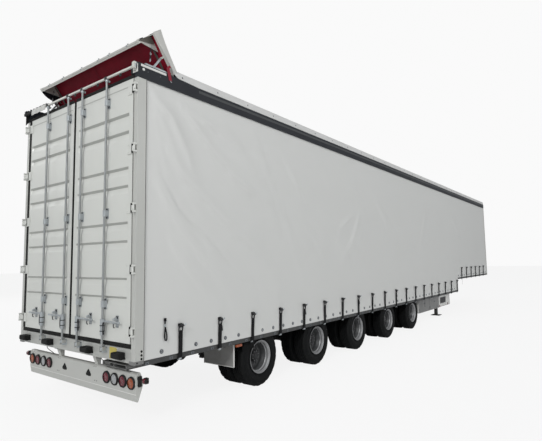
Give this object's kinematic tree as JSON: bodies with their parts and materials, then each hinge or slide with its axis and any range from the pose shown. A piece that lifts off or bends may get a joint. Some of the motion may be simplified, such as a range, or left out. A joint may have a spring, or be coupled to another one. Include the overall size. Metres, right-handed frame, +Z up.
{
  "type": "step-frame curtain-side semi trailer",
  "caption": "Long closed load body with soft side curtains, hinged rear doors and a raised roof tail, on a low stepped chassis with twin-tyred axles, landing legs and a kingpin under its neck.",
  "frame": {"origin": "on the ground, midway between the two sides and midway between the rear buffers' faces and the front wall", "axes": "+X forward towards the kingpin, +Y to the trailer's left, +Z up from the ground"},
  "size_m": [16.84, 2.66, 4.3757],
  "materials": {
    "body_paint": "gloss",
    "chassis_paint": "satin",
    "rail_black": "satin",
    "rail_plain": "satin",
    "galvanised": "satin",
    "rubber": "matt",
    "tyre": "matt",
    "rim_paint": "satin",
    "curtain": "satin",
    "roof_cloth": "satin",
    "webbing": "matt",
    "floor_board": "matt",
    "lens_red": "gloss",
    "lens_amber": "gloss",
    "lens_clear": "gloss",
    "lamp_black": "matt",
    "flap": "matt"
  },
  "bodies": {
    "root": {"chassis_beams": "chassis_paint", "cross_members": "chassis_paint", "load_floor": "floor_board", "side_rails": "rail_plain", "rear_posts": "body_paint", "rear_sill": "body_paint", "buffers": "rubber", "post_hinges": "body_paint", "tie_bar": "galvanised", "roof_rails": "rail_black", "front_wall": "body_paint", "side_pillars": "rail_plain", "roof_bows": "rail_plain", "bow_carriages": "galvanised", "roof_sheet": "roof_cloth", "curtain_left": "curtain", "curtain_right": "curtain", "curtain_straps": "webbing", "lamp_bar": "body_paint", "lamp_bodies": "lamp_black", "lamps_red": "lens_red", "lamps_amber": "lens_amber", "lamps_clear": "lens_clear", "axles": "chassis_paint", "trailing_arms": "chassis_paint", "air_springs": "rubber", "mudflaps": "flap", "side_lockers": "body_paint", "landing_legs": "chassis_paint", "coupler": "chassis_paint"},
    "door_left": {"door_left": "body_paint", "door_left_seal": "rubber", "door_left_gear": "galvanised"},
    "door_right": {"door_right": "body_paint", "door_right_seal": "rubber", "door_right_gear": "galvanised"},
    "roof_tail": {"tail_frame": "body_paint", "tail_sheet": "roof_cloth"},
    "tail_stays": {"tail_stays": "galvanised"},
    "wheel_1_left": {"tyres_1_left": "tyre", "rims_1_left": "rim_paint"},
    "wheel_1_right": {"tyres_1_right": "tyre", "rims_1_right": "rim_paint"},
    "wheel_2_left": {"tyres_2_left": "tyre", "rims_2_left": "rim_paint"},
    "wheel_2_right": {"tyres_2_right": "tyre", "rims_2_right": "rim_paint"},
    "wheel_3_left": {"tyres_3_left": "tyre", "rims_3_left": "rim_paint"},
    "wheel_3_right": {"tyres_3_right": "tyre", "rims_3_right": "rim_paint"},
    "wheel_4_left": {"tyres_4_left": "tyre", "rims_4_left": "rim_paint"},
    "wheel_4_right": {"tyres_4_right": "tyre", "rims_4_right": "rim_paint"},
    "wheel_5_left": {"tyres_5_left": "tyre", "rims_5_left": "rim_paint"},
    "wheel_5_right": {"tyres_5_right": "tyre", "rims_5_right": "rim_paint"}
  },
  "joints": [
    {"name": "wheel_1_left_spin", "type": "hinge", "parent": "root", "child": "wheel_1_left", "pos_m": [-6.199, 0.976, 0.39722], "axis": [0, 1, 0], "continuous": true},
    {"name": "wheel_1_right_spin", "type": "hinge", "parent": "root", "child": "wheel_1_right", "pos_m": [-6.199, -0.976, 0.39722], "axis": [0, 1, 0], "continuous": true},
    {"name": "wheel_2_left_spin", "type": "hinge", "parent": "root", "child": "wheel_2_left", "pos_m": [-4.679, 0.976, 0.39722], "axis": [0, 1, 0], "continuous": true},
    {"name": "wheel_2_right_spin", "type": "hinge", "parent": "root", "child": "wheel_2_right", "pos_m": [-4.679, -0.976, 0.39722], "axis": [0, 1, 0], "continuous": true},
    {"name": "wheel_3_left_spin", "type": "hinge", "parent": "root", "child": "wheel_3_left", "pos_m": [-3.159, 0.976, 0.39722], "axis": [0, 1, 0], "continuous": true},
    {"name": "wheel_3_right_spin", "type": "hinge", "parent": "root", "child": "wheel_3_right", "pos_m": [-3.159, -0.976, 0.39722], "axis": [0, 1, 0], "continuous": true},
    {"name": "wheel_4_left_spin", "type": "hinge", "parent": "root", "child": "wheel_4_left", "pos_m": [-1.639, 0.976, 0.39722], "axis": [0, 1, 0], "continuous": true},
    {"name": "wheel_4_right_spin", "type": "hinge", "parent": "root", "child": "wheel_4_right", "pos_m": [-1.639, -0.976, 0.39722], "axis": [0, 1, 0], "continuous": true},
    {"name": "wheel_5_left_spin", "type": "hinge", "parent": "root", "child": "wheel_5_left", "pos_m": [-0.119, 0.976, 0.39722], "axis": [0, 1, 0], "continuous": true},
    {"name": "wheel_5_right_spin", "type": "hinge", "parent": "root", "child": "wheel_5_right", "pos_m": [-0.119, -0.976, 0.39722], "axis": [0, 1, 0], "continuous": true},
    {"name": "door_left_swing", "type": "hinge", "parent": "root", "child": "door_left", "pos_m": [-8.358, 1.264, 2.3], "axis": [0, 0, -1], "range_deg": [0, 255]},
    {"name": "door_right_swing", "type": "hinge", "parent": "root", "child": "door_right", "pos_m": [-8.358, -1.264, 2.3], "axis": [0, 0, 1], "range_deg": [0, 255]},
    {"name": "roof_tail_close", "type": "hinge", "parent": "root", "child": "roof_tail", "pos_m": [-7.83, 0, 3.93], "axis": [0, 1, 0], "range_deg": [-54, 0]},
    {"name": "tail_stay_fold", "type": "hinge", "parent": "roof_tail", "child": "tail_stays", "pos_m": [-7.95931, 0, 4.10798], "axis": [0, 1, 0], "range_deg": [0, 108]}
  ],
  "couplings": [
    {"joint": "tail_stay_fold", "follows": "roof_tail_close", "ratio": -2}
  ]
}
